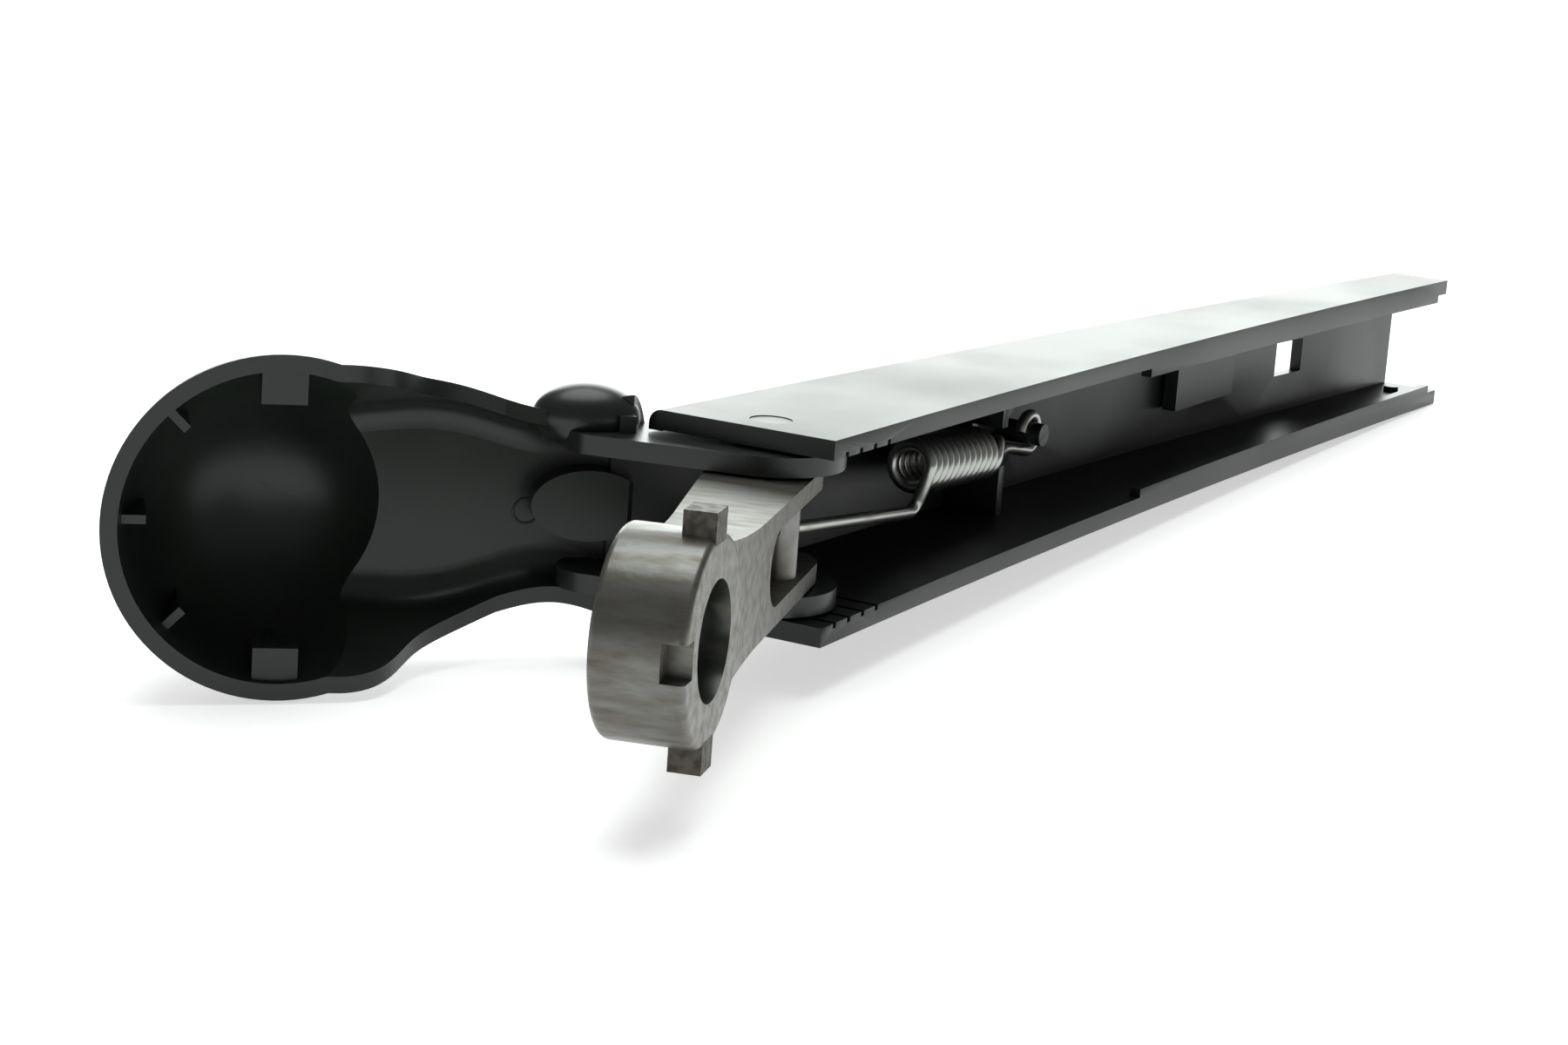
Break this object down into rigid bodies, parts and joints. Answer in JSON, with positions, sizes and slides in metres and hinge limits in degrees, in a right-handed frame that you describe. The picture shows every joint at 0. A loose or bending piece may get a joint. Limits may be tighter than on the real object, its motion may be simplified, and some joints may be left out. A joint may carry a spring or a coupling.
{
  "type": "wiper arm",
  "caption": "Spring-loaded rear wiper arm: hinged channel arm with forked tip, cast mounting head with a taper bore, tension spring and a hinged nut cap shown open.",
  "frame": {"origin": "on the spindle bore's axis, on the glass-side face of the boss", "axes": "+X from the bore along the head towards the hinge, +Y away from the glass, +Z across the arm"},
  "size_m": [0.2653, 0.1342, 0.0388],
  "materials": {
    "black_plastic": "satin",
    "cast_head": "matte",
    "pin_steel": "satin",
    "spring_steel": "satin"
  },
  "bodies": {
    "head": {"mounting_head": "cast_head", "spring_link_pin": "pin_steel"},
    "arm": {"arm_channel": "black_plastic", "hinge_pin": "pin_steel", "tension_spring": "spring_steel"},
    "cap": {"nut_cap": "black_plastic"}
  },
  "joints": [
    {"name": "arm_hinge", "type": "hinge", "parent": "head", "child": "arm", "pos_m": [0.056, 0.009, 0], "axis": [0, 0, 1], "range_deg": [0, 40], "stiffness_Nm_per_rad": 0.6, "springref_deg": -34.38, "deforming": ["tension_spring"]},
    {"name": "cap_hinge", "type": "hinge", "parent": "head", "child": "cap", "pos_m": [0.056, 0.009, 0], "axis": [0, 0, -1], "range_deg": [-64, 4]}
  ]
}
